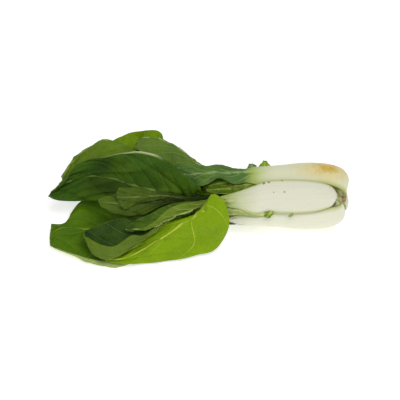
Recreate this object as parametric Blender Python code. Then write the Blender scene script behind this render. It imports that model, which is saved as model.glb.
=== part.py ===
"""A cut head of bok choy lying on its side, in metres, +Z up, root towards +X.

The head is described in a plane that leans back by LEAN from the upright: x runs along the
head towards the root, a runs up that plane and o stands out of it.  All of those are in
millimetres.  `to_world` rolls the plane back and lays the head on the surface z = 0.

Every leaf is one solid: a thick stalk that becomes a thin blade.  Its middle surface is spun
between three long curves (left margin, midrib, right margin) through a few stations.
"""
import math

import bmesh
import bpy
import numpy as np

MM = 0.001
LEAN = math.radians(50.0)        # how far the describing plane leans from the upright
SURFACE_DROP = 32.7              # depth of the resting surface below the plane's zero line
AXIS_A = 2.0                     # height of the stalk bundle's axis in the describing plane
X_MIDDLE = -1.25                 # middle of the head's length, moved to x = 0
Y_MIDDLE = 14.6                 # middle of the head's width, moved to y = 0

ROWS = 22                        # grid lines along a leaf
ACROSS = np.array([-1, -0.88, -0.74, -0.5, -0.25, 0, 0.25, 0.5, 0.75, 1])   # places across a leaf
COLUMNS = len(ACROSS)
LIP_START = 0.76                 # where a curled left margin starts to turn
LIP_PLACES = (10.5, 12.0, 13.0, 14.0, 17.0)        # stations between which the curl grows and fades
LIP_SHARES = (0.0, 1.0, 0.8, 0.45, 0.0)
BLADE_THICKNESS = 1.3
TIP_THICKNESS = 1.1
STALK_EDGE = 1.5                 # thickness of a stalk at its two thin edges

CROWN_PROFILE = [(146.0, 5.2), (145.0, 6.2), (130.0, 6.2), (118.0, 4.6), (110.0, 3.6)]
CROWN_SIDES = 24

# Stalk profiles: (x, radius from the bundle's axis, share of the full spread), base first.
OUTER = [(140, 11.0, 0.62), (145, 14.5, 0.7), (145, 20, 0.77), (139, 25.5, 0.82),
         (126, 29, 0.92), (105, 29.7, 1.0), (82, 27.4, 1.0)]
INNER = [(119, 8.5, 0.8), (121, 12, 0.9), (115, 16, 1.0), (100, 17.5, 1.0), (80, 17, 1.0)]
HEART = [(104, 6.0, 0.9), (96, 8.5, 1.0), (80, 9.0, 1.0)]
HEART_CORE = [(102, 2.0, 1.0), (94, 3.0, 1.0), (80, 3.0, 1.0)]


def stalk(profile, angle, spread, tuck=(0.0, 0.0), shift=0.0, hug=(0.0, 0.0)):
    """Stations of a stalk wrapped round the bundle's axis.

    angle is measured from the front (out of the plane) towards the top, in degrees; spread
    holds the half-widths of the left and the right side in degrees, and tuck how far each
    margin is drawn in towards the axis. hug widens the first few stations round the root.
    """
    stations = []
    for place, (x, radius, share) in enumerate(profile):
        base = max(0.0, 1 - place / 4)
        left = polar(x + shift, radius - tuck[0] * share, angle + spread[0] * share + hug[0] * base)
        middle = polar(x + shift, radius, angle)
        right = polar(x + shift, radius - tuck[1] * share, angle - spread[1] * share - hug[1] * base)
        stations.append((left, middle, right))
    return stations


def polar(x, radius, degrees):
    """A point at a radius and an angle round the bundle's axis."""
    turn = math.radians(degrees)
    return (x, AXIS_A + radius * math.sin(turn), radius * math.cos(turn))


# Each leaf: stalk stations, then hand-placed stations (left margin, midrib, right margin),
# stalk thickness, sharpness of the fold along the midrib (2 is a smooth curve) and colour.
LEAVES = {
    "front_leaf": dict(
        stalk=stalk(OUTER, 0, (32.5, 35.5), shift=-14.3),
        blade=[((54, 12, 24), (54, -1, 28), (54, -15, 24)),
               ((34, 5, 25), (34, -2, 28), (34, -9.5, 25)),
               ((14, 0, 27), (16, -4.5, 27.5), (16, -8.5, 22.5)),
               ((-6, -4, 31), (-4, -10, 28), (-2, -4, 22)),
               ((-20, -6, 35), (-20, -16, 31), (-18, -4, 25)),
               ((-33, -12, 35), (-34, -23, 30), (-34, -8, 23)),
               ((-46, -24, 31), (-48, -29, 27), (-50, -16, 21)),
               ((-58, -30, 26), (-60, -31, 25), (-62, -21, 20)),
               ((-72, -33, 20), (-74, -31, 19), (-73, -28, 18))],
        thickness=8.5, fold=1.7, colour=(0.33, 0.43, 0.16)),
    "upper_leaf": dict(
        stalk=stalk(OUTER, 70, (46, 45), tuck=(0.5, 5.5), shift=-1.5, hug=(28, 46)),
        blade=[((60, 28, 3), (60, 25.5, 14), (60, 12.5, 20)),
               ((46, 28.5, 4), (46, 24.5, 15), (46, 15, 20)),
               ((34, 30, 3), (34, 24.5, 14.5), (34, 13.5, 20)),
               ((20, 32, 2), (20, 25, 14), (19, 19.5, 17.5)),
               ((4, 33, 4), (4, 24, 12), (4, 12, 16)),
               ((-20, 33, 4), (-20, 23, 8), (-14, 12, 9)),
               ((-44, 29, -3), (-44, 22, 1), (-36, 14, 1)),
               ((-64, 26, -9), (-66, 20, -6), (-60, 14, -6))],
        thickness=8.5, fold=2.0, colour=(0.20, 0.33, 0.19)),
    "lower_leaf": dict(
        stalk=stalk(OUTER, -72, (46, 44), tuck=(5.5, 0.5), shift=-5.0, hug=(14, 8)),
        blade=[((58, -16.5, 17), (58, -24, 8), (58, -21, -8)),
               ((36, -17, 12), (36, -23, 4), (36, -18, -8)),
               ((10, -30, 4), (10, -24, -6), (10, -14, -15)),
               ((-20, -46, 0), (-20, -28, -12), (-20, -8, -20)),
               ((-55, -58, 9), (-52, -31, -14), (-50, -3, -24)),
               ((-84, -62, 15), (-80, -32, -14), (-80, -1, -27)),
               ((-106, -61, 16), (-102, -32, -13), (-104, -1, -26)),
               ((-124, -56, 13), (-118, -31, -12), (-120, -3, -24)),
               ((-135, -53, 10), (-130, -31, -11), (-130, -15, -19)),
               ((-144, -51, 6), (-141, -31, -9), (-135, -27, -15)),
               ((-149.5, -48, 3), (-150.5, -37, -5), (-149, -26, -8))],
        thickness=8.5, fold=2.0, lip=(-10.0, 5.0), colour=(0.29, 0.45, 0.08)),
    "under_leaf": dict(
        stalk=stalk(OUTER, 200, (46, 50), tuck=(4.5, 4.5), hug=(10, 36)),
        blade=[((58, -18, -16), (58, -8, -27), (58, 10, -24)),
               ((34, -17, -18), (34, -7, -28), (34, 6, -26)),
               ((8, -20, -24), (6, -3, -37), (8, 16, -42)),
               ((-22, -18, -28), (-24, 6, -48), (-31, 38, -56)),
               ((-50, -14, -32), (-52, 14, -55), (-40, 67, -58)),
               ((-78, -6, -38), (-80, 18, -58), (-62, 69, -60)),
               ((-100, 6, -48), (-104, 20, -60), (-84, 63, -63)),
               ((-116, 18, -58), (-119, 22, -61), (-112, 44, -65))],
        thickness=8.5, fold=2.0, colour=(0.46, 0.56, 0.05)),
    "spread_leaf": dict(
        stalk=stalk(INNER, -48, (27, 27)),
        blade=[((56, -8, 16), (56, -13, 12), (56, -14, 7)),
               ((30, -11.5, 20), (30, -14, 18), (30, -16.5, 15)),
               ((8, -10.5, 31), (6, -13, 30), (6, -16, 26)),
               ((13, 4, 34), (-2, -14, 31), (-6, -17, 27)),
               ((25, -6, 34), (-6, -18, 29), (-14, -20, 24)),
               ((28.5, -29, 25), (-14, -23, 25), (-28, -24, 17)),
               ((16, -50, 10), (-24, -30, 21), (-42, -32, 13)),
               ((-10, -58, 10), (-36, -38, 19), (-58, -39, 12)),
               ((-42, -64, 15), (-54, -50, 17), (-72, -49, 12)),
               ((-72, -65, 18), (-76, -60, 18), (-84, -57, 16)),
               ((-92, -63, 18.5), (-94, -61, 18.5), (-95, -59, 18))],
        thickness=5.0, fold=2.0, colour=(0.48, 0.62, 0.05)),
    "pocket_leaf": dict(
        stalk=stalk(INNER, 14, (27, 27)),
        blade=[((50, 6, 15), (50, -1, 16), (50, -7, 14)),
               ((22, 2, 16.5), (22, -4, 16.5), (22, -8, 13)),
               ((-6, -9, 17), (-6, -13, 16), (-6, -10, 10)),
               ((-32, -19, 23.5), (-30, -22, 21), (-30, -14, 10)),
               ((-54, -36, 26), (-48, -35, 22), (-50, -16, 11)),
               ((-68, -37, 30), (-62, -46, 23), (-68, -19, 11)),
               ((-84, -47, 29), (-82, -57, 22), (-84, -21, 10)),
               ((-98, -46, 27), (-98, -59, 21), (-100, -26, 9)),
               ((-110, -40, 22), (-109, -50, 18), (-111, -31, 10)),
               ((-114, -38, 16), (-115, -36, 14), (-114, -33, 12))],
        thickness=5.0, fold=1.7, colour=(0.35, 0.45, 0.17)),
    "arched_leaf": dict(
        stalk=stalk(INNER, 80, (27, 27)),
        blade=[((48, 16, -8), (48, 17, 0), (48, 14, 8)),
               ((22, 24, -12), (22, 24, -5), (22, 19, 3)),
               ((0, 31, -18), (-2, 34, -7), (-4, 28, 0)),
               ((-18, 42, -26), (-20, 49, -11), (-20, 31, 1)),
               ((-34, 48, -34), (-38, 58, -17), (-40, 38, -1)),
               ((-46, 51, -40), (-51, 61, -26), (-57, 45, -6)),
               ((-54, 53, -42), (-60, 60, -32), (-64, 51, -14)),
               ((-60, 55, -38), (-63, 58, -34), (-65, 56, -25))],
        thickness=5.0, fold=2.0, colour=(0.36, 0.49, 0.24)),
    "far_leaf": dict(
        stalk=stalk(INNER, 144, (27, 27)),
        blade=[((46, 4, -19), (46, 12, -16), (46, 16, -10)),
               ((20, 8, -24), (20, 17, -20), (18, 19, -14)),
               ((-10, 18, -36), (-8, 26, -28), (-10, 25, -18)),
               ((-38, 30, -42), (-36, 38, -30), (-40, 32, -16)),
               ((-66, 42, -46), (-66, 50, -34), (-70, 40, -14)),
               ((-92, 46, -40), (-92, 57, -26), (-96, 42, -10)),
               ((-116, 40, -34), (-114, 50, -22), (-112, 30, -12)),
               ((-131, 29, -28), (-131, 33, -19), (-127, 20, -13)),
               ((-138, 21, -19), (-139, 20, -16), (-137, 16, -12))],
        thickness=5.0, fold=2.0, colour=(0.45, 0.57, 0.25)),
    "cupped_leaf": dict(
        stalk=stalk(INNER, 216, (27, 27)),
        blade=[((54, -12, -8), (54, -6, -12), (54, 0, -12)),
               ((28, -11, -5), (28, -6, -8), (28, 0, -8)),
               ((2, -8, 0), (2, -3, -2), (2, 4, 2)),
               ((-14, -7, 2), (-12, -1, 0), (-5, 6, 20)),
               ((-34, -5, 5), (-30, 3, 5), (-17, 23, 22)),
               ((-56, -3, 2), (-48, 8, 3), (-30, 37, 16)),
               ((-80, -2, -3), (-68, 13, 0), (-52, 45, 9)),
               ((-104, -2.5, -7), (-90, 20, -3), (-78, 45, 7)),
               ((-126, -3, -9), (-112, 22, -5), (-102, 40, 3)),
               ((-144, -2, -8), (-134, 16, -6), (-126, 28, 0)),
               ((-152, 2, -6), (-149, 6, -6), (-144, 12, -4))],
        thickness=5.0, fold=2.0, colour=(0.22, 0.37, 0.12)),
    "heart_leaf_outer": dict(
        stalk=stalk(HEART, 0, (48, 48)),
        blade=[((50, 7, 6), (50, 0, 9), (50, -5, 6)),
               ((20, 4, 9.5), (20, 0, 11), (20, -4, 9)),
               ((-10, 1, 16), (-10, -1, 17), (-10, -4, 15)),
               ((-32, 5, 22), (-32, 2, 23), (-32, -2, 20)),
               ((-48, 7.5, 24), (-48, 2, 27), (-48, -2, 23)),
               ((-64, 9.5, 25), (-64, 1, 28), (-63, -6, 24)),
               ((-80, 11, 24), (-82, 1, 27), (-75, -11, 23))],
        thickness=3.2, fold=2.0, colour=(0.38, 0.47, 0.17)),
    "heart_leaf_inner": dict(
        stalk=stalk(HEART_CORE, 0, (70, 70)),
        blade=[((50, 3, 0), (50, 0, 3), (50, -3, 0)),
               ((20, 2, 2), (20, -1, 4), (20, -4, 2)),
               ((-8, -1, 10), (-8, -3, 11.5), (-8, -5.5, 9.5)),
               ((-32, 4, 13), (-32, -3, 17), (-34, -7, 15)),
               ((-50, 7, 14), (-50, -4, 20), (-50, -14, 17)),
               ((-68, 7, 14), (-68, -5, 21), (-66, -18, 18)),
               ((-84, 5, 14), (-84, -5, 20), (-82, -15, 18)),
               ((-98, 0, 14), (-101, -3, 16), (-97, -9, 16))],
        thickness=3.0, fold=2.0, colour=(0.42, 0.52, 0.22)),
}


def smooth_curve(points, count):
    """Even samples of a curve that passes through every point (Catmull-Rom tangents)."""
    points = np.asarray(points, float)
    slopes = np.gradient(points, axis=0)
    place = np.linspace(0.0, len(points) - 1.0, count)
    start = np.minimum(place.astype(int), len(points) - 2)
    t = (place - start)[:, None]
    rise = 3 * t**2 - 2 * t**3
    return (points[start] * (1 - rise) + points[start + 1] * rise
            + slopes[start] * (t**3 - 2 * t**2 + t) + slopes[start + 1] * (t**3 - t**2))


def to_world(points):
    """Roll the describing plane back and lay it over the surface z = 0, in millimetres."""
    x, a, o = points[..., 0], points[..., 1], points[..., 2]
    y = a * math.sin(LEAN) - o * math.cos(LEAN)
    z = a * math.cos(LEAN) + o * math.sin(LEAN) + SURFACE_DROP
    return np.stack([x - X_MIDDLE, y - Y_MIDDLE, z], axis=-1)


def middle_surface(leaf):
    """The leaf's middle surface as a grid of points, ROWS by COLUMNS."""
    stations = leaf["stalk"] + leaf["blade"]
    left, rib, right = (smooth_curve([s[k] for s in stations], ROWS) for k in range(3))
    u = ACROSS[None, :, None]
    straight = u * (right - left)[:, None] / 2
    bent = np.abs(u) ** leaf["fold"] * ((left + right) / 2 - rib)[:, None]
    turned = np.clip((-u - LIP_START) / (1 - LIP_START), 0.0, 1.0)
    places = np.linspace(0.0, len(stations) - 1.0, ROWS)
    on_blade = np.interp(places, LIP_PLACES, LIP_SHARES)[:, None, None]
    curl = 4 * turned * (1 - turned) * np.array([0.0, *leaf.get("lip", (0.0, 0.0))])
    return rib[:, None] + straight + bent + on_blade * curl


def thickness_map(leaf):
    """Thick rounded stalk, thinning through the neck to a thin blade."""
    u = ACROSS[None, :]
    stations = len(leaf["stalk"]) + len(leaf["blade"]) - 1
    along = np.linspace(0.0, stations, ROWS)[:, None]
    past_stalk = np.clip((along - len(leaf["stalk"])) / 3.0, 0.0, 1.0)
    fade = past_stalk**2 * (3 - 2 * past_stalk)
    base = np.clip(0.55 + along / 3.0, 0.0, 1.0)
    rib = leaf["thickness"] * base * (1 - fade) + 2.2 * fade
    edge = STALK_EDGE * (1 - fade) + BLADE_THICKNESS * fade
    power = 1.0 + 2.0 * fade
    sheet = edge + (rib - edge) * (1 - u**2) ** power
    return np.where(along > stations - 1, np.minimum(sheet, TIP_THICKNESS + 0.4), sheet)


def settle(points, thickness):
    """Flatten what would sink into the surface so that it lies on it."""
    lowest = 0.5 * thickness + 0.02
    points[..., 2] = np.maximum(points[..., 2], lowest)
    return points


def surface_normals(points):
    along = np.gradient(points, axis=0)
    across = np.gradient(points, axis=1)
    normals = np.cross(across, along)
    return normals / np.linalg.norm(normals, axis=-1, keepdims=True)


def leaf_mesh(leaf):
    """Offset the middle surface both ways by half the thickness and close the rim."""
    thickness = thickness_map(leaf)
    middle = settle(to_world(middle_surface(leaf)), thickness)
    offset = surface_normals(middle) * thickness[..., None] / 2
    upper = (middle + offset).reshape(-1, 3)
    lower = (middle - offset).reshape(-1, 3)
    points = np.concatenate([upper, lower]) * MM
    points[:, 2] = np.maximum(points[:, 2], 0.0)
    half = ROWS * COLUMNS
    grid = np.arange(half).reshape(ROWS, COLUMNS)
    faces = []
    for r in range(ROWS - 1):
        for c in range(COLUMNS - 1):
            a, b, d, e = grid[r, c], grid[r, c + 1], grid[r + 1, c + 1], grid[r + 1, c]
            faces.append((a, b, d, e))
            faces.append((a + half, e + half, d + half, b + half))
    rim = list(grid[0]) + list(grid[1:, -1]) + list(grid[-1, -2::-1]) + list(grid[-2:0:-1, 0])
    for here, after in zip(rim, rim[1:] + rim[:1]):
        faces.append((here, here + half, after + half, after))
    return points, [[int(i) for i in face] for face in faces]


def crown_mesh():
    """The root stub: a turned plug with flat ends, lying along the bundle's axis."""
    points = []
    for x, radius in CROWN_PROFILE:
        for k in range(CROWN_SIDES):
            points.append(polar(x, radius, 360.0 * k / CROWN_SIDES))
    points = to_world(np.array(points)) * MM
    faces = []
    for ring in range(len(CROWN_PROFILE) - 1):
        for k in range(CROWN_SIDES):
            a = ring * CROWN_SIDES + k
            b = ring * CROWN_SIDES + (k + 1) % CROWN_SIDES
            faces.append([a, b, b + CROWN_SIDES, a + CROWN_SIDES])
    last = (len(CROWN_PROFILE) - 1) * CROWN_SIDES
    faces.append(list(range(CROWN_SIDES))[::-1])
    faces.append(list(range(last, last + CROWN_SIDES)))
    return points, faces


def make_material(name, colour, roughness):
    material = bpy.data.materials.new(name)
    material.use_nodes = True
    shader = material.node_tree.nodes["Principled BSDF"]
    shader.inputs["Base Color"].default_value = (*colour, 1.0)
    shader.inputs["Roughness"].default_value = roughness
    shader.inputs["Metallic"].default_value = 0.0
    return material


def add_solid(name, points, faces, material):
    mesh = bpy.data.meshes.new(name)
    mesh.from_pydata(points.tolist(), [], faces)
    shell = bmesh.new()
    shell.from_mesh(mesh)
    bmesh.ops.recalc_face_normals(shell, faces=shell.faces)
    bmesh.ops.triangulate(shell, faces=shell.faces)
    shell.to_mesh(mesh)
    shell.free()
    mesh.shade_smooth()
    mesh.set_sharp_from_angle(angle=math.radians(50))
    mesh.materials.append(material)
    solid = bpy.data.objects.new(name, mesh)
    bpy.context.scene.collection.objects.link(solid)
    return solid


def main():
    for old in list(bpy.data.objects):
        bpy.data.objects.remove(old, do_unlink=True)
    cut = make_material("cut_root", (0.55, 0.42, 0.24), 0.8)
    add_solid("crown", *crown_mesh(), cut)
    for name, leaf in LEAVES.items():
        finish = make_material(name + "_finish", leaf["colour"], 0.45)
        add_solid(name, *leaf_mesh(leaf), finish)


main()
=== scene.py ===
# %% [markdown]
# # A head of bok choy, lying on a pale table
#
# The head is a bundle of leaves. Each leaf is a thick white stalk that runs out into a thin green
# blade, and no two leaves are bent alike. This lesson builds every leaf from one formula: a grid of
# points spun between three long curves, then given veins, waves and thickness with numpy.
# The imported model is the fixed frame: it says how big the head is and where it lies.

# %% Load the frame
import math

import bpy
import numpy as np
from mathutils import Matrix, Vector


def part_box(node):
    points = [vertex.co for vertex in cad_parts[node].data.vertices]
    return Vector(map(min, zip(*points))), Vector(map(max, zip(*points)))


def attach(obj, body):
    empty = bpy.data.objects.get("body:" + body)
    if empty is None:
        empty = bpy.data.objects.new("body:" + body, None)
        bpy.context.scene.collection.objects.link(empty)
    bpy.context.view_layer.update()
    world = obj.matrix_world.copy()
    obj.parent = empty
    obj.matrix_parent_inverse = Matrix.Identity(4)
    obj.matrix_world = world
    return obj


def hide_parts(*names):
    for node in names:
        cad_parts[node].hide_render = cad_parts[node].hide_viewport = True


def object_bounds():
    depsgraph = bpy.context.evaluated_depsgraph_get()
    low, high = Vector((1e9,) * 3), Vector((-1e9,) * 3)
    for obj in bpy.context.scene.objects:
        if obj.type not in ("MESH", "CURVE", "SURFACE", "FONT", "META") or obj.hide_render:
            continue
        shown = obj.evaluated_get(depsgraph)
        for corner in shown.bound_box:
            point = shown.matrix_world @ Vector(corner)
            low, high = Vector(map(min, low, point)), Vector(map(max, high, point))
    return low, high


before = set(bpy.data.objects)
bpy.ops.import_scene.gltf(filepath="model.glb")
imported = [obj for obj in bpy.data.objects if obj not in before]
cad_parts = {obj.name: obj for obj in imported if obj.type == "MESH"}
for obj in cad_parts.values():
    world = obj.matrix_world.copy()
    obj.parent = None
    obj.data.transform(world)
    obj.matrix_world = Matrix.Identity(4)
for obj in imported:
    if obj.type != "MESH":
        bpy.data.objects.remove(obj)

packed_box = [[float(value) for value in corner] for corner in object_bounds()]
print("packed box", packed_box)

# %% [markdown]
# ## The describing plane
#
# The head is easiest to describe as it is seen, on a plane that leans back: x runs along the head
# towards the root, a runs up the plane and o stands out of it, all in millimetres. One roll about x
# lays that plane back onto the table. The plane's origin is found from the crown, the cut root stub,
# whose centre lies at a known place in the plane, so nothing is fitted by eye.

# %% Plane to world
MM = 0.001
LEAN = math.radians(50.0)
AXIS_A = 2.0
CROWN_MIDDLE_X = 128.0

crown_low, crown_high = (np.array(corner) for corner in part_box("crown"))
crown_middle = (crown_low + crown_high) / 2 / MM
ORIGIN = crown_middle - np.array([CROWN_MIDDLE_X, AXIS_A * math.sin(LEAN), AXIS_A * math.cos(LEAN)])


def to_world(points):
    """Turn plane points (x, a, o) into table points: y = a sin L - o cos L, z = a cos L + o sin L."""
    x, a, o = points[..., 0], points[..., 1], points[..., 2]
    y = a * math.sin(LEAN) - o * math.cos(LEAN)
    z = a * math.cos(LEAN) + o * math.sin(LEAN)
    return np.stack([x, y, z], axis=-1) + ORIGIN


print("plane origin in mm", ORIGIN.round(2))

# %% [markdown]
# ## Camera, light and table
#
# A long lens far away keeps the long head from bulging towards the camera. The camera looks
# straight into the describing plane. A wide soft lamp above, a weaker one at the side and a bright,
# even sky stand in for a white studio, and the table is a plain pale sheet with only a soft shadow.


# %% Small helpers for objects and materials
def add_object(name, data):
    """Put a camera, a lamp or a mesh into the scene."""
    item = bpy.data.objects.new(name, data)
    bpy.context.scene.collection.objects.link(item)
    return item


def set_inputs(node, values):
    """Give named inputs of a node their plain values."""
    for name, value in values.items():
        node.inputs[name].default_value = value


def new_material(name):
    """A new material and its Principled shader."""
    material = bpy.data.materials.new(name)
    material.use_nodes = True
    return material, material.node_tree.nodes["Principled BSDF"]


# %% Camera
CAMERA_DISTANCE = 1.9
VIEW_WIDTH = 0.4
SENSOR = 36.0
VIEW_MIDDLE = (0.0, -2.0, 0.0)

camera_data = bpy.data.cameras.new("studio_camera")
camera_data.sensor_width = SENSOR
camera_data.lens = SENSOR * CAMERA_DISTANCE / VIEW_WIDTH
camera = add_object("studio_camera", camera_data)
camera.location = to_world(np.array([VIEW_MIDDLE[0], VIEW_MIDDLE[1], CAMERA_DISTANCE / MM])) * MM
camera.rotation_euler = (math.pi / 2 - LEAN, 0.0, 0.0)
bpy.context.scene.camera = camera


# %% Lamps and sky
def add_lamp(name, place, aim, size, watts):
    """A square soft lamp at a place in metres, its -Z axis turned towards aim."""
    lamp_data = bpy.data.lights.new(name, "AREA")
    lamp_data.size = size
    lamp_data.energy = watts
    lamp = add_object(name, lamp_data)
    lamp.location = place
    turn = np.array(aim) - np.array(place)
    lamp.rotation_euler = (
        math.atan2(math.hypot(turn[0], turn[1]), -turn[2]),
        0.0,
        math.atan2(turn[1], turn[0]) - math.pi / 2,
    )


add_lamp("key_lamp", (0.25, -0.25, 1.1), (0.0, 0.0, 0.03), 0.6, 5.0)
add_lamp("fill_lamp", (-0.8, -0.6, 0.7), (0.0, 0.0, 0.03), 0.8, 1.2)

sky = bpy.data.worlds.new("studio_sky")
sky.use_nodes = True
set_inputs(sky.node_tree.nodes["Background"], {"Color": (1.0, 1.0, 1.0, 1.0), "Strength": 0.42})
bpy.context.scene.world = sky
bpy.context.scene.view_settings.view_transform = "Standard"

# %% Table
table_material, table_shader = new_material("pale_table")
set_inputs(table_shader, {"Base Color": (0.92, 0.92, 0.92, 1.0), "Roughness": 0.9,
                          "Emission Color": (1.0, 1.0, 1.0, 1.0), "Emission Strength": 0.5})

TABLE_HALF = 6.0
TABLE_GAP = 0.0002
table_mesh = bpy.data.meshes.new("table")
table_corners = [(-1, -1), (1, -1), (1, 1), (-1, 1)]
table_top = packed_box[0][2] - TABLE_GAP
table_points = [(x * TABLE_HALF, y * TABLE_HALF, table_top) for x, y in table_corners]
table_mesh.from_pydata(table_points, [], [(0, 1, 2, 3)])
table_mesh.materials.append(table_material)
table = add_object("table", table_mesh)

# %% [markdown]
# ## Colours
#
# Colours are written as they would be picked on a screen, from 0 to 255, and turned into the linear
# numbers that shaders mix.


# %% Screen colour to shader colour
def tint(red, green, blue):
    """Undo the screen's brightness curve for one colour."""
    values = np.array([red, green, blue]) / 255.0
    linear = np.where(values <= 0.04045, values / 12.92, ((values + 0.055) / 1.055) ** 2.4)
    return (*[float(value) for value in linear], 1.0)


# %% [markdown]
# ## One node group for all leaf tissue
#
# Every leaf shares the same tissue: waxy ribbed stalk, green blade, pale veins and a fine net of
# veinlets. A shader group holds that once. Numbers that the mesh carries steer it: how far the
# stalk has become blade, where the veins run, and which face of the leaf this is. The group only
# puts out colour, roughness and height, so each material keeps its own shader.


# %% Small helpers for node trees
def add_node(tree, kind, **settings):
    """Make a node and set its plain properties."""
    node = tree.nodes.new(kind)
    for name, value in settings.items():
        setattr(node, name, value)
    return node


def mix_colours(tree, factor, first, second):
    """first * (1 - factor) + second * factor, each a socket or a plain value."""
    node = add_node(tree, "ShaderNodeMix", data_type="RGBA")
    for socket, value in ((node.inputs[0], factor), (node.inputs[6], first), (node.inputs[7], second)):
        connect(tree, value, socket)
    return node.outputs[2]


def mix_numbers(tree, factor, first, second):
    """first * (1 - factor) + second * factor for plain numbers."""
    node = add_node(tree, "ShaderNodeMix", data_type="FLOAT")
    for socket, value in ((node.inputs[0], factor), (node.inputs[2], first), (node.inputs[3], second)):
        connect(tree, value, socket)
    return node.outputs[0]


def maths(tree, operation, *values):
    """One arithmetic step on sockets or plain numbers."""
    node = add_node(tree, "ShaderNodeMath", operation=operation)
    for socket, value in zip(node.inputs, values):
        connect(tree, value, socket)
    return node.outputs[0]


def vector_maths(tree, operation, *values):
    """One vector step; a length or a distance comes out as a number."""
    node = add_node(tree, "ShaderNodeVectorMath", operation=operation)
    for socket, value in zip(node.inputs, values):
        connect(tree, value, socket)
    return node.outputs["Value" if operation in ("LENGTH", "DISTANCE") else "Vector"]


def glaze(tree, base, colour, mask, strength):
    """Lay a colour over the base where the mask is, at a strength between 0 and 1."""
    return mix_colours(tree, maths(tree, "MULTIPLY", mask, strength), base, colour)


def connect(tree, value, socket):
    """Link a socket, or store a plain value."""
    if isinstance(value, bpy.types.NodeSocket):
        tree.links.new(value, socket)
    else:
        socket.default_value = value


def remap(tree, value, low, high, new_low=0.0, new_high=1.0):
    """Straight-line change of range, held inside the new range."""
    node = add_node(tree, "ShaderNodeMapRange")
    set_inputs(node, {"From Min": low, "From Max": high, "To Min": new_low, "To Max": new_high})
    connect(tree, value, node.inputs["Value"])
    return node.outputs["Result"]


def noise(tree, vector, scale, detail):
    """Cloudy noise between 0 and 1, mostly between 0.3 and 0.7."""
    node = add_node(tree, "ShaderNodeTexNoise")
    set_inputs(node, {"Scale": scale, "Detail": detail})
    tree.links.new(vector, node.inputs["Vector"])
    return node.outputs["Fac"]


def add_bump(tree, shader, height, strength, distance):
    """Let a height pattern tilt the shaded surface, its full depth being distance in metres."""
    bump = add_node(tree, "ShaderNodeBump")
    set_inputs(bump, {"Strength": strength, "Distance": distance})
    tree.links.new(height, bump.inputs["Height"])
    tree.links.new(bump.outputs["Normal"], shader.inputs["Normal"])


# %% The leaf tissue group
# Shade is the strength of painted shade, a near-black green laid over crevices and shadowed places.
MESH_NUMBERS = ("Blade", "Width", "Inside", "Margin", "Shade")
MESH_VECTORS = ("Pattern", "Phases")
LEAF_COLOURS = ("Inside Colour", "Outside Colour", "Stalk Colour", "Vein Colour", "Margin Colour")


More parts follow.
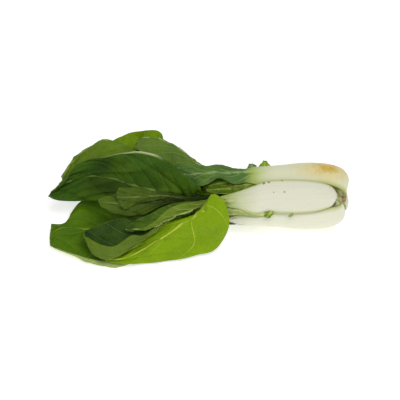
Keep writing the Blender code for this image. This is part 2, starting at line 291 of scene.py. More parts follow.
def build_tissue_group():
    """Colour, roughness and height of leaf tissue, from what the mesh carries and five colours."""
    group = bpy.data.node_groups.new("leaf_tissue", "ShaderNodeTree")
    face = group.interface
    for names, kind in ((MESH_NUMBERS, "Float"), (MESH_VECTORS, "Vector"), (LEAF_COLOURS, "Color")):
        for name in names:
            face.new_socket(name, in_out="INPUT", socket_type="NodeSocket" + kind)
    for name, kind in (("Colour", "Color"), ("Roughness", "Float"), ("Height", "Float")):
        face.new_socket(name, in_out="OUTPUT", socket_type="NodeSocket" + kind)
    given = add_node(group, "NodeGroupInput").outputs
    result = add_node(group, "NodeGroupOutput").inputs

    # Fine net of veinlets: pale walls between cells about 3 mm wide.
    cells = add_node(group, "ShaderNodeTexVoronoi", feature="DISTANCE_TO_EDGE")
    cells.inputs["Scale"].default_value = 0.34
    warp = noise(group, given["Pattern"], 0.25, 2.0)
    warped = vector_maths(group, "MULTIPLY_ADD", warp, (2.2, 2.2, 0.0), given["Pattern"])
    group.links.new(warped, cells.inputs["Vector"])
    net = remap(group, cells.outputs["Distance"], 0.0, 0.14, 1.0, 0.0)

    # Veins: near each whole number of a phase, and near the midrib.
    phases = add_node(group, "ShaderNodeSeparateXYZ")
    group.links.new(given["Phases"], phases.inputs[0])
    side_away = maths(group, "DIVIDE", maths(group, "PINGPONG", phases.outputs["X"], 0.5), given["Width"])
    steady = remap(group, noise(group, given["Pattern"], 0.06, 2.0), 0.35, 0.65, 0.35, 0.95)
    side_vein = maths(group, "MULTIPLY", remap(group, side_away, 0.4, 1.5, 1.0, 0.0), steady)
    fine_away = maths(group, "DIVIDE", maths(group, "PINGPONG", phases.outputs["Y"], 0.5), given["Width"])
    broken = remap(group, noise(group, given["Pattern"], 0.12, 2.0), 0.4, 0.6, 0.0, 0.13)
    fine_vein = maths(group, "MULTIPLY", remap(group, fine_away, 0.3, 1.9, 1.0, 0.0), broken)
    rib_vein = remap(group, phases.outputs["Z"], 0.5, 1.3, 1.0, 0.0)
    vein = maths(group, "MAXIMUM", maths(group, "MAXIMUM", side_vein, fine_vein), rib_vein)

    # Blade: broad dark clouds, younger yellow-green patches and a fine grain, with veins on top.
    cloud = remap(group, noise(group, given["Pattern"], 0.05, 4.0), 0.3, 0.7)
    grain = remap(group, noise(group, given["Pattern"], 0.6, 3.0), 0.3, 0.7)
    blade = mix_colours(group, given["Inside"], given["Outside Colour"], given["Inside Colour"])
    deep = mix_colours(group, 0.34, blade, (0.01, 0.035, 0.004, 1.0))
    blade = glaze(group, blade, deep, cloud, 0.8)
    young = remap(group, noise(group, given["Pattern"], 0.035, 3.0), 0.48, 0.68)
    blade = glaze(group, blade, tint(130, 164, 4), young, 0.2)
    light = mix_colours(group, 0.2, blade, given["Vein Colour"])
    blade = glaze(group, blade, light, grain, 0.3)
    blade = glaze(group, blade, given["Vein Colour"], net, 0.06)
    blade = glaze(group, blade, given["Vein Colour"], vein, 0.85)
    blade = mix_colours(group, given["Margin"], blade, given["Margin Colour"])

    # Stalk: long pale fibres with a faint green cast, yellow-green along its thin edges.
    fibre_place = vector_maths(group, "MULTIPLY", given["Pattern"], (1.0, 0.035, 1.0))
    fibre = remap(group, noise(group, fibre_place, 0.55, 4.0), 0.3, 0.7)
    green_fibre = mix_colours(group, 0.3, given["Stalk Colour"], tint(196, 208, 140))
    stalk = glaze(group, given["Stalk Colour"], green_fibre, fibre, 0.25)
    speck = remap(group, noise(group, given["Pattern"], 0.35, 2.0), 0.68, 0.76)
    stalk = glaze(group, stalk, tint(170, 175, 110), speck, 0.25)
    stalk = mix_colours(group, given["Margin"], stalk, tint(172, 182, 70))

    # The green starts in the fibres: a pale yellow-green neck first, then the full blade. Painted
    # shade, a near-black green, darkens both where the Shade number says: crevices and shadowed necks.
    ragged = maths(group, "MULTIPLY", given["Blade"], maths(group, "MULTIPLY_ADD", fibre, 0.4, 1.0))
    neck = mix_colours(group, remap(group, ragged, 0.0, 0.5), stalk, tint(176, 194, 104))
    grown = remap(group, ragged, 0.55, 0.95)
    whole = mix_colours(group, grown, neck, blade)
    connect(group, mix_colours(group, given["Shade"], whole, tint(14, 32, 3)), result["Colour"])

    # Waxy stalk, satin inside of the blade, matte outside. Veins and net are sunk in.
    blade_rough = remap(group, given["Inside"], 0.0, 1.0, 0.62, 0.42)
    rough = maths(group, "MULTIPLY_ADD", grain, 0.08, blade_rough)
    stalk_rough = remap(group, fibre, 0.0, 1.0, 0.34, 0.44)
    connect(group, mix_numbers(group, grown, stalk_rough, rough), result["Roughness"])
    relief = maths(group, "MULTIPLY_ADD", net, -0.35, maths(group, "MULTIPLY", grain, 0.5))
    relief = maths(group, "MULTIPLY_ADD", vein, -0.8, relief)
    fibre_height = maths(group, "MULTIPLY", fibre, 0.5)
    connect(group, mix_numbers(group, grown, fibre_height, relief), result["Height"])
    return group


tissue = build_tissue_group()
print("tissue group nodes", len(tissue.nodes))


# %% [markdown]
# ## One material per leaf
#
# The leaves differ in colour: young inner leaves are olive, the blade that falls forward is bright
# yellow-green, and the ones that arch over show a duller, matte green outside. Each material
# places the tissue group with its own colours. A leaf lets some light through, which a little
# subsurface scattering gives.


# %% Leaf material
def leaf_material(name, colours, stain=None, spots=()):
    """Principled shader fed by the tissue group, with an optional brown stain and small spots."""
    material, shader = new_material(name)
    tree = material.node_tree
    group = add_node(tree, "ShaderNodeGroup", node_tree=tissue)
    set_inputs(group, colours)
    for labels, output in ((MESH_NUMBERS, "Fac"), (MESH_VECTORS, "Vector")):
        for label in labels:
            reader = add_node(tree, "ShaderNodeAttribute", attribute_name=label.lower())
            tree.links.new(reader.outputs[output], group.inputs[label])
    colour = group.outputs["Colour"]
    if stain is not None:
        colour = add_stain(tree, colour, *stain)
    for spot in spots:
        colour = add_spot(tree, colour, *spot)
    tree.links.new(colour, shader.inputs["Base Color"])
    tree.links.new(group.outputs["Roughness"], shader.inputs["Roughness"])
    add_bump(tree, shader, group.outputs["Height"], 0.6, 0.0009)
    set_inputs(shader, {"Specular IOR Level": 0.1, "Subsurface Weight": 0.06,
                        "Subsurface Radius": (0.6, 1.0, 0.25), "Subsurface Scale": 0.002})
    return material


def add_stain(tree, colour, centre, reach):
    """Warm brown cloud round a point of the stalk, with a few dark specks in it."""
    place = add_node(tree, "ShaderNodeTexCoord").outputs["Object"]
    shaped = vector_maths(tree, "DIVIDE", vector_maths(tree, "SUBTRACT", place, centre), reach)
    away = vector_maths(tree, "LENGTH", shaped)
    ragged = maths(tree, "MULTIPLY_ADD", noise(tree, place, 160.0, 4.0), 0.9, away)
    warm = glaze(tree, colour, tint(232, 206, 112), remap(tree, ragged, 0.6, 1.55, 1.0, 0.0), 0.85)
    core = remap(tree, ragged, 0.5, 0.95, 1.0, 0.0)
    warm = glaze(tree, warm, tint(214, 176, 70), core, 0.75)
    speck = remap(tree, noise(tree, place, 900.0, 2.0), 0.62, 0.68)
    return glaze(tree, warm, tint(96, 52, 20), maths(tree, "MULTIPLY", speck, core), 0.9)


def add_spot(tree, colour, x, a, o, radius, spot_colour):
    """A small ragged mark round one point of the plane, radius in millimetres."""
    place = add_node(tree, "ShaderNodeTexCoord").outputs["Object"]
    away = vector_maths(tree, "DISTANCE", place, tuple(to_world(np.array([x, a, o])) * MM))
    ragged = maths(tree, "MULTIPLY_ADD", noise(tree, place, 600.0, 3.0), radius * MM, away)
    mask = remap(tree, ragged, radius * MM, 1.6 * radius * MM, 0.85, 0.0)
    return mix_colours(tree, mask, colour, tint(*spot_colour))


# %% [markdown]
# ## Three curves make a leaf
#
# A leaf is described at a few stations along its length. Each station places the left margin, the
# midrib and the right margin. A smooth curve joins each of the three through all the stations, and
# the leaf's middle surface is spun across them. A stalk's stations come from a formula, because
# all stalks wrap round the bundle's axis; a blade's are listed one by one, because it bends freely.


# %% Smooth curve
def smooth_curve(points, places):
    """Catmull-Rom curve: Hermite cubics whose slope at a point joins that point's neighbours."""
    points = np.asarray(points, float)
    slopes = np.gradient(points, axis=0)
    start = np.minimum(places.astype(int), len(points) - 2)
    t = (places - start)[:, None]
    rise = 3 * t**2 - 2 * t**3
    return (
        points[start] * (1 - rise)
        + points[start + 1] * rise
        + slopes[start] * (t**3 - 2 * t**2 + t)
        + slopes[start + 1] * (t**3 - t**2)
    )


def even_places(points, count):
    """Curve places that are evenly spaced along the midrib's length."""
    dense = np.linspace(0.0, len(points) - 1.0, 600)
    steps = np.linalg.norm(np.diff(smooth_curve(points, dense), axis=0), axis=1)
    length = np.concatenate([[0.0], np.cumsum(steps)])
    return np.interp(np.linspace(0.0, length[-1], count), length, dense), length[-1]


# %% Stalk stations
def polar(x, radius, degrees):
    """A point at a radius and an angle round the bundle's axis, 0 degrees facing the camera."""
    turn = math.radians(degrees)
    return (x, AXIS_A + radius * math.sin(turn), radius * math.cos(turn))


def stalk(profile, angle, spread, tuck=(0.0, 0.0), shift=0.0, hug=(0.0, 0.0)):
    """Stations of a stalk wrapped round the bundle's axis.

    angle is measured from the front (out of the plane) towards the top, in degrees; spread
    holds the half-widths of the left and the right side in degrees, and tuck how far each
    margin is drawn in towards the axis. hug widens the first few stations round the root.
    """
    stations = []
    for place, (x, radius, share) in enumerate(profile):
        base = max(0.0, 1 - place / 4)
        left = polar(x + shift, radius - tuck[0] * share, angle + spread[0] * share + hug[0] * base)
        middle = polar(x + shift, radius, angle)
        right = polar(x + shift, radius - tuck[1] * share, angle - spread[1] * share - hug[1] * base)
        stations.append((left, middle, right))
    return stations


OUTER = [(140, 11.0, 0.62), (145, 14.5, 0.7), (145, 20, 0.77), (139, 25.5, 0.82),
         (126, 29, 0.92), (105, 29.7, 1.0), (82, 27.4, 1.0)]
INNER = [(119, 8.5, 0.8), (121, 12, 0.9), (115, 16, 1.0), (100, 17.5, 1.0), (80, 17, 1.0)]
HEART = [(104, 6.0, 0.9), (96, 8.5, 1.0), (80, 9.0, 1.0)]
HEART_CORE = [(102, 2.0, 1.0), (94, 3.0, 1.0), (80, 3.0, 1.0)]

# %% [markdown]
# ## Veins, panels and waves
#
# Across a leaf, u runs from -1 at the left margin to 1 at the right one; along its blade, v runs
# from 0 at the neck to 1 at the tip. Side veins leave the midrib at steady steps and sweep forward
# to the margin. The phase `t = count * (v - sweep * |u|)` is a whole number on each of them, so the
# distance to the nearest whole number is the distance to the nearest vein.
# Between veins the tissue is puffed up, and the margin, which grew longer than the midrib, waves.


# %% Relief of one leaf
def side_vein_phase(u, v, count, sweep, seed):
    """A whole number on each side vein: t = count * (v - sweep * |u|^0.85), made uneven by waves."""
    side = np.where(u < 0, 0.37, 0.0)
    wobble = 0.22 * np.sin(7.0 * v + seed) + 0.12 * np.sin(5.0 * np.abs(u) + 2.0 * seed)
    return count * (v - sweep * np.abs(u) ** 0.85) + side + wobble


def vein_phases(u, v, half_width, blade_length, leaf):
    """What the shader draws veins from: (side phase, fine phase, midrib distance) and vein width.

    A phase counts veins along the blade, so a vein lies where it is a whole number. The midrib
    distance is measured in midrib widths and the vein width in steps between veins.
    """
    rib_width = 0.4 + leaf["rib_width"] * (1 - v) ** 1.3
    side = side_vein_phase(u, v, leaf["veins"], leaf["sweep"], leaf["seed"])
    fine = side_vein_phase(u, v, leaf["veins"] * 3.1, leaf["sweep"] * 0.8, leaf["seed"] + 2.0)
    step = blade_length / leaf["veins"]
    side_width = 0.62 * (1 - 0.6 * np.abs(u)) * (1 - 0.4 * v) / (0.8 * step)
    return np.stack([side, fine, np.abs(u) * half_width / rib_width], axis=-1), side_width


def relief(u, v, blade, leaf):
    """Offset along the normal in mm: puffed panels, sharp crumples, waves that grow to the margin.

    Between veins the panel rises as sin(pi * distance)^0.8. The crumples are ridges (1 - |sin|)^3 of
    one wave train, less those of a second that crosses it, and soft bumps between them. The margin's
    waves grow as |u|^3.2.
    """
    phase = side_vein_phase(u, v, leaf["veins"], leaf["sweep"], leaf["seed"])
    nearest = np.abs(phase - np.round(phase))
    puff = leaf["puff"] * (np.sin(np.pi * nearest) ** 0.8 - 0.5) * (1 - np.abs(u) ** 3)
    across, along = 2.6 * u + 0.4 * np.sin(9.0 * v + leaf["seed"]), 8.0 * v + 0.5 * np.sin(3.0 * u)
    first = 1 - np.abs(np.sin(across + along + leaf["seed"]))
    second = 1 - np.abs(np.sin(1.7 * across - 1.3 * along + 2.0 * leaf["seed"]))
    crumple = leaf["crumple"] * (first**3 - second**3 + 0.5 * np.sin(2.0 * across) * np.sin(along))
    edge = np.abs(u) ** 3.2
    wave = np.sin(leaf["waves"] * 2 * np.pi * v + 1.6 * np.sign(u) + leaf["seed"])
    small = 0.35 * np.sin(leaf["waves"] * 5.3 * np.pi * v + 2.0 * leaf["seed"] + np.sign(u))
    return blade * (puff + crumple + leaf["ruffle"] * edge * (wave + small))


# %% Margin and painted shade
def margin_mask(u, v, half_width, green, leaf):
    """Pale rim of the blade over the leaf's own stretch, and the thin green edges of the stalk."""
    start, end, side = leaf["rim_span"]
    width = leaf["rim_width"] * np.clip((end - v) / 0.25, 0.2, 1.0)
    rim = np.clip((np.abs(u) * half_width - half_width + width) / 1.1, 0.0, 1.0)
    span = np.clip((v - start) / 0.06, 0.0, 1.0) * np.clip((end - v) / 0.06, 0.0, 1.0)
    chosen = span * np.where(side * u < 0, 0.0, 1.0)
    stalk_edge = 0.85 * np.clip((np.abs(u) - 0.76) / 0.24, 0.0, 1.0) ** 1.5
    return leaf["rim"] * rim * chosen * green + stalk_edge * (1 - green)


def painted_shade_mask(u, v, shades):
    """Painted shade: soft dark-green patches over crevices and shadowed places, each (u, v, reach in u,
    reach in v, strength).
    """
    mask = np.zeros_like(u)
    for u_place, v_place, u_reach, v_reach, strength in shades:
        away = ((u - u_place) / u_reach) ** 2 + ((v - v_place) / v_reach) ** 2
        mask = np.maximum(mask, strength * np.exp(-away))
    return mask


# %% [markdown]
# ## From grid to closed leaf
#
# The middle surface gets its relief, then every point is pushed out both ways by half the local
# thickness. The stalk is a crescent, up to 8.5 mm thick in the middle, and the blade a thin sheet.
# The two sheets and a strip round the rim close into one body. What would sink into the table is
# laid flat on it. For the material, each point of the mesh carries how green it is, how near the
# pale margin, how strong the painted shade is that darkens crevices and shadowed places, and which
# face it is on, with the phases and the width of the veins and a pattern coordinate in millimetres
# across and along the leaf.

# %% Middle surface and thickness
ROWS = 200
COLUMNS = 81
MARGIN_CROWDING = math.pi / 2 * 0.55  # columns stand closer together towards the margins
BLADE_START = 0.8  # where v begins, in stations past the first one of the blade
TABLE_Z = packed_box[0][2] / MM
STALK_EDGE = 1.5  # thickness of the stalk's edges and of the blade, in millimetres
BLADE_SHEET = 0.75
LIP_START = 0.76  # a lip bows out from u = -0.76 to the left margin, by its share at each place
LIP_PLACES = (10.5, 12.0, 13.0, 14.0, 17.0)
LIP_SHARES = (0.0, 1.0, 0.8, 0.45, 0.0)


def middle_surface(leaf, places, u):
    """rib + u (right - left) / 2 + |u|^fold ((left + right) / 2 - rib), along all three curves.

    A leaf with a lip is also bowed out in a narrow band, so that its left margin curls back in.
    """
    stations = leaf["stalk"] + leaf["blade"]
    left, rib, right = (smooth_curve([s[k] for s in stations], places) for k in range(3))
    straight = u[None, :, None] * (right - left)[:, None] / 2
    bent = np.abs(u[None, :, None]) ** leaf["fold"] * ((left + right) / 2 - rib)[:, None]
    turned = np.clip((-u - LIP_START) / (1 - LIP_START), 0.0, 1.0)[None, :, None]
    share = np.interp(places, LIP_PLACES, LIP_SHARES)[:, None, None]
    curl = 4 * turned * (1 - turned) * np.array([0.0, *leaf.get("lip", (0.0, 0.0))])
    return rib[:, None] + straight + bent + share * curl


def blade_fade(places, leaf):
    """0 up to the first station of the blade, rising smoothly to 1 over the next three."""
    past = np.clip((places - len(leaf["stalk"])) / 3.0, 0.0, 1.0)
    return past**2 * (3 - 2 * past)


def green_fade(places, leaf):
    """0 where the stalk is white, 1 where the blade is green, over the leaf's own stretch."""
    start, end = leaf["greening"]
    past = np.clip((places - len(leaf["stalk"]) - start) / (end - start), 0.0, 1.0)
    return past**2 * (3 - 2 * past)


def thickness_map(u, places, leaf):
    """Stalk lens that thins through the neck to a sheet with a raised midrib."""
    fade = blade_fade(places, leaf)[:, None]
    last = len(leaf["stalk"]) + len(leaf["blade"]) - 1
    base = np.clip(0.55 + places / 3.0, 0.0, 1.0)[:, None]
    tip = np.clip((last - places) / 3.0, 0.0, 1.0)[:, None]
    rib = leaf["thickness"] * base * (1 - fade) + (0.9 + 1.5 * tip) * fade
    edge = STALK_EDGE * (1 - fade) + BLADE_SHEET * fade
    lens = 1 - u[None, :] ** 2
    ridge = np.exp(-((np.abs(u[None, :]) / 0.09) ** 2))
    return edge + (rib - edge) * (lens * (1 - fade) + ridge * fade)


def unit_normals(points):
    """Unit normals of a grid of points from its two directions."""
    normals = np.cross(np.gradient(points, axis=1), np.gradient(points, axis=0))
    return normals / np.maximum(np.linalg.norm(normals, axis=-1, keepdims=True), 1e-9)


# %% Closed mesh
def closed_sheet(name, upper, lower):
    """Two facing grids and the strip between their rims, as one mesh with outward faces."""
    rows, columns = upper.shape[:2]
    grid = np.arange(rows * columns).reshape(rows, columns)
    quads = np.stack([grid[:-1, :-1], grid[:-1, 1:], grid[1:, 1:], grid[1:, :-1]], axis=-1).reshape(-1, 4)
    half = rows * columns
    rim = np.concatenate([grid[0, :-1], grid[:-1, -1], grid[-1, :0:-1], grid[:0:-1, 0]])
    after = np.roll(rim, -1)
    strip = np.stack([rim, rim + half, after + half, after], axis=-1)
    faces = np.concatenate([quads, quads[:, ::-1] + half, strip])
    mesh = bpy.data.meshes.new(name)
    points = np.concatenate([upper.reshape(-1, 3), lower.reshape(-1, 3)]) * MM
    mesh.from_pydata(points.tolist(), [], faces.tolist())
    mesh.shade_smooth()
    return mesh


def store_number(mesh, name, values):
    """One number per point, read back in the material by its name."""
    layer = mesh.attributes.new(name, "FLOAT", "POINT")
    layer.data.foreach_set("value", np.asarray(values, np.float32).ravel())


def store_vector(mesh, name, values):
    """Three numbers per point."""
    layer = mesh.attributes.new(name, "FLOAT_VECTOR", "POINT")
    layer.data.foreach_set("vector", np.asarray(values, np.float32).ravel())


# %% Leaf maker
def make_leaf(name, node, leaf, material, rows=ROWS, columns=COLUMNS):
    """Build one leaf and hang it on the root body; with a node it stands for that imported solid."""
    stations = leaf["stalk"] + leaf["blade"]
    places, length = even_places([station[1] for station in stations], rows)
    u = np.sin(np.linspace(-1.0, 1.0, columns) * MARGIN_CROWDING) / math.sin(MARGIN_CROWDING)
    middle = middle_surface(leaf, places, u)
    blade = blade_fade(places, leaf)
    along = np.linspace(0.0, length, rows)
    blade_start = np.interp(len(leaf["stalk"]) + BLADE_START, places, along)
    blade_length = length - blade_start
    v = np.clip((along - blade_start) / blade_length, 0.0, 1.0)[:, None]
    across = np.linalg.norm(np.diff(middle, axis=1), axis=2)
    reach = np.concatenate([np.zeros((rows, 1)), np.cumsum(across, axis=1)], axis=1)
    reach = reach - reach[:, columns // 2 : columns // 2 + 1]
    half_width = np.maximum(np.abs(reach[:, [0, -1]]).mean(axis=1), 1.0)[:, None]

    grid_u = np.broadcast_to(u[None, :], (rows, columns))
    grid_v = np.broadcast_to(v, (rows, columns))
    phases, side_width = vein_phases(grid_u, grid_v, half_width, blade_length, leaf)
    thickness = thickness_map(u, places, leaf)
    world = to_world(middle)
    world = world + unit_normals(world) * relief(grid_u, grid_v, blade[:, None], leaf)[..., None]
    world[..., 2] = np.maximum(world[..., 2], TABLE_Z + thickness / 2)
    push = unit_normals(world) * thickness[..., None] / 2
    upper, lower = world + push, world - push
    upper[..., 2] = np.maximum(upper[..., 2], TABLE_Z)
    lower[..., 2] = np.maximum(lower[..., 2], TABLE_Z)

    mesh = closed_sheet(name, upper, lower)
    green = np.broadcast_to(green_fade(places, leaf)[:, None], (rows, columns))
    margin = margin_mask(grid_u, grid_v, half_width, green, leaf)
    # Painted shade: how far each point is darkened as if in a crevice or under another leaf.
    shade = painted_shade_mask(grid_u, grid_v, leaf["shades"])
    for label, values in (("blade", green), ("width", side_width), ("margin", margin), ("shade", shade)):
        store_number(mesh, label, np.stack([values, values]))
    store_number(mesh, "inside", np.stack([np.ones_like(shade), np.zeros_like(shade)]))
    grid_along = np.broadcast_to(along[:, None], reach.shape)
    pattern = np.stack([reach, grid_along, np.zeros_like(reach)], axis=-1)
    shifted = np.stack([pattern + leaf["seed"] * 37.0, pattern + leaf["seed"] * 53.0])
    store_vector(mesh, "pattern", shifted)
    store_vector(mesh, "phases", np.stack([phases, phases]))
    mesh.materials.append(material)
    piece = add_object(name, mesh)
    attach(piece, "root")
    if node is not None:
        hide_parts(node)
    print(f"{name}: {length:.0f} mm long, blade {blade_length:.0f} mm, {len(mesh.polygons)} faces")


# %% [markdown]
# ## The leaves
#
# Each leaf below is one entry: where its stalk sits round the axis, the stations of its blade, how
# thick the stalk is and how it folds along the midrib, where 2 is a smooth curve and less is sharper.
# The outer four wrap the bundle, the inner five stand inside them and the two heart leaves fill the
# middle.

# %% Stations of every leaf, base first: (left margin, midrib, right margin)
LEAVES = {
    "front_leaf": dict(
        stalk=stalk(OUTER, 0, (32.5, 35.5), shift=-14.3),
        blade=[((54, 12, 24), (54, -1, 28), (54, -15, 24)),
               ((34, 5, 25), (34, -2, 28), (34, -9.5, 25)),
               ((14, 0, 27), (16, -4.5, 27.5), (16, -8.5, 22.5)),
               ((-6, -4, 31), (-4, -10, 28), (-2, -4, 22)),
               ((-20, -6, 35), (-20, -16, 31), (-18, -4, 25)),
               ((-33, -12, 35), (-34, -23, 30), (-34, -8, 23)),
               ((-46, -24, 31), (-48, -29, 27), (-50, -16, 21)),
               ((-58, -30, 26), (-60, -31, 25), (-62, -21, 20)),
               ((-72, -33, 20), (-74, -31, 19), (-73, -28, 18))],
        thickness=8.5, fold=1.7),
    "upper_leaf": dict(
        stalk=stalk(OUTER, 70, (46, 45), tuck=(0.5, 5.5), shift=-1.5, hug=(28, 46)),
        blade=[((60, 28, 3), (60, 25.5, 14), (60, 12.5, 20)),
               ((46, 28.5, 4), (46, 24.5, 15), (46, 15, 20)),
               ((34, 30, 3), (34, 24.5, 14.5), (34, 13.5, 20)),
               ((20, 32, 2), (20, 25, 14), (19, 19.5, 17.5)),
               ((4, 33, 4), (4, 24, 12), (4, 12, 16)),
               ((-20, 33, 4), (-20, 23, 8), (-14, 12, 9)),
               ((-44, 29, -3), (-44, 22, 1), (-36, 14, 1)),
               ((-64, 26, -9), (-66, 20, -6), (-60, 14, -6))],
        thickness=8.5, fold=2.0),
    "lower_leaf": dict(
        stalk=stalk(OUTER, -72, (46, 44), tuck=(5.5, 0.5), shift=-5.0, hug=(14, 8)),
        blade=[((58, -16.5, 17), (58, -24, 8), (58, -21, -8)),
               ((36, -17, 12), (36, -23, 4), (36, -18, -8)),
               ((10, -30, 4), (10, -24, -6), (10, -14, -15)),
               ((-20, -46, 0), (-20, -28, -12), (-20, -8, -20)),
               ((-55, -58, 9), (-52, -31, -14), (-50, -3, -24)),
               ((-84, -62, 15), (-80, -32, -14), (-80, -1, -27)),
               ((-106, -61, 16), (-102, -32, -13), (-104, -1, -26)),
               ((-124, -56, 13), (-118, -31, -12), (-120, -3, -24)),
               ((-135, -53, 10), (-130, -31, -11), (-130, -15, -19)),
               ((-144, -51, 6), (-141, -31, -9), (-135, -27, -15)),
               ((-149.5, -48, 3), (-150.5, -37, -5), (-149, -26, -8))],
        thickness=8.5, fold=2.0, lip=(-10.0, 5.0)),
    "under_leaf": dict(
        stalk=stalk(OUTER, 200, (46, 50), tuck=(4.5, 4.5), hug=(10, 36)),
        blade=[((58, -18, -16), (58, -8, -27), (58, 10, -24)),
               ((34, -17, -18), (34, -7, -28), (34, 6, -26)),
               ((8, -20, -24), (6, -3, -37), (8, 16, -42)),
               ((-22, -18, -28), (-24, 6, -48), (-31, 38, -56)),
               ((-50, -14, -32), (-52, 14, -55), (-40, 67, -58)),
               ((-78, -6, -38), (-80, 18, -58), (-62, 69, -60)),
               ((-100, 6, -48), (-104, 20, -60), (-84, 63, -63)),
               ((-116, 18, -58), (-119, 22, -61), (-112, 44, -65))],
        thickness=8.5, fold=2.0),
    "spread_leaf": dict(
        stalk=stalk(INNER, -48, (27, 27)),
        blade=[((56, -8, 16), (56, -13, 12), (56, -14, 7)),
               ((30, -11.5, 20), (30, -14, 18), (30, -16.5, 15)),
               ((8, -10.5, 31), (6, -13, 30), (6, -16, 26)),
               ((13, 4, 34), (-2, -14, 31), (-6, -17, 27)),
               ((25, -6, 34), (-6, -18, 29), (-14, -20, 24)),
               ((28.5, -29, 25), (-14, -23, 25), (-28, -24, 17)),
               ((16, -50, 10), (-24, -30, 21), (-42, -32, 13)),
               ((-10, -58, 10), (-36, -38, 19), (-58, -39, 12)),
               ((-42, -64, 15), (-54, -50, 17), (-72, -49, 12)),
               ((-72, -65, 18), (-76, -60, 18), (-84, -57, 16)),
               ((-92, -63, 18.5), (-94, -61, 18.5), (-95, -59, 18))],
        thickness=5.0, fold=2.0),
    "pocket_leaf": dict(
        stalk=stalk(INNER, 14, (27, 27)),
        blade=[((50, 6, 15), (50, -1, 16), (50, -7, 14)),
               ((22, 2, 16.5), (22, -4, 16.5), (22, -8, 13)),
               ((-6, -9, 17), (-6, -13, 16), (-6, -10, 10)),
               ((-32, -19, 23.5), (-30, -22, 21), (-30, -14, 10)),
               ((-54, -36, 26), (-48, -35, 22), (-50, -16, 11)),
               ((-68, -37, 30), (-62, -46, 23), (-68, -19, 11)),
               ((-84, -47, 29), (-82, -57, 22), (-84, -21, 10)),
               ((-98, -46, 27), (-98, -59, 21), (-100, -26, 9)),
               ((-110, -40, 22), (-109, -50, 18), (-111, -31, 10)),
               ((-114, -38, 16), (-115, -36, 14), (-114, -33, 12))],
        thickness=5.0, fold=1.7),
    "arched_leaf": dict(
        stalk=stalk(INNER, 80, (27, 27)),
        blade=[((48, 16, -8), (48, 17, 0), (48, 14, 8)),
               ((22, 24, -12), (22, 24, -5), (22, 19, 3)),
               ((0, 31, -18), (-2, 34, -7), (-4, 28, 0)),
               ((-18, 42, -26), (-20, 49, -11), (-20, 31, 1)),
               ((-34, 48, -34), (-38, 58, -17), (-40, 38, -1)),
               ((-46, 51, -40), (-51, 61, -26), (-57, 45, -6)),
               ((-54, 53, -42), (-60, 60, -32), (-64, 51, -14)),
               ((-60, 55, -38), (-63, 58, -34), (-65, 56, -25))],
        thickness=5.0, fold=2.0),
    "far_leaf": dict(
        stalk=stalk(INNER, 144, (27, 27)),
        blade=[((46, 4, -19), (46, 12, -16), (46, 16, -10)),
               ((20, 8, -24), (20, 17, -20), (18, 19, -14)),
               ((-10, 18, -36), (-8, 26, -28), (-10, 25, -18)),
               ((-38, 30, -42), (-36, 38, -30), (-40, 32, -16)),
               ((-66, 42, -46), (-66, 50, -34), (-70, 40, -14)),
               ((-92, 46, -40), (-92, 57, -26), (-96, 42, -10)),
               ((-116, 40, -34), (-114, 50, -22), (-112, 30, -12)),
               ((-131, 29, -28), (-131, 33, -19), (-127, 20, -13)),
               ((-138, 21, -19), (-139, 20, -16), (-137, 16, -12))],
        thickness=5.0, fold=2.0),
    "cupped_leaf": dict(
        stalk=stalk(INNER, 216, (27, 27)),
        blade=[((54, -12, -8), (54, -6, -12), (54, 0, -12)),
               ((28, -11, -5), (28, -6, -8), (28, 0, -8)),
               ((2, -8, 0), (2, -3, -2), (2, 4, 2)),
               ((-14, -7, 2), (-12, -1, 0), (-5, 6, 20)),
               ((-34, -5, 5), (-30, 3, 5), (-17, 23, 22)),
               ((-56, -3, 2), (-48, 8, 3), (-30, 37, 16)),
               ((-80, -2, -3), (-68, 13, 0), (-52, 45, 9)),
               ((-104, -2.5, -7), (-90, 20, -3), (-78, 45, 7)),
               ((-126, -3, -9), (-112, 22, -5), (-102, 40, 3)),
               ((-144, -2, -8), (-134, 16, -6), (-126, 28, 0)),
               ((-152, 2, -6), (-149, 6, -6), (-144, 12, -4))],
        thickness=5.0, fold=2.0),
    "heart_leaf_outer": dict(
        stalk=stalk(HEART, 0, (48, 48)),
        blade=[((50, 7, 6), (50, 0, 9), (50, -5, 6)),
               ((20, 4, 9.5), (20, 0, 11), (20, -4, 9)),
               ((-10, 1, 16), (-10, -1, 17), (-10, -4, 15)),
               ((-32, 5, 22), (-32, 2, 23), (-32, -2, 20)),
               ((-48, 7.5, 24), (-48, 2, 27), (-48, -2, 23)),
               ((-64, 9.5, 25), (-64, 1, 28), (-63, -6, 24)),
               ((-80, 11, 24), (-82, 1, 27), (-75, -11, 23))],
        thickness=3.2, fold=2.0),
    "heart_leaf_inner": dict(
        stalk=stalk(HEART_CORE, 0, (70, 70)),
        blade=[((50, 3, 0), (50, 0, 3), (50, -3, 0)),
               ((20, 2, 2), (20, -1, 4), (20, -4, 2)),
               ((-8, -1, 10), (-8, -3, 11.5), (-8, -5.5, 9.5)),
               ((-32, 4, 13), (-32, -3, 17), (-34, -7, 15)),
               ((-50, 7, 14), (-50, -4, 20), (-50, -14, 17)),
               ((-68, 7, 14), (-68, -5, 21), (-66, -18, 18)),
               ((-84, 5, 14), (-84, -5, 20), (-82, -15, 18)),
               ((-98, 0, 14), (-101, -3, 16), (-97, -9, 16))],
        thickness=3.0, fold=2.0),
}
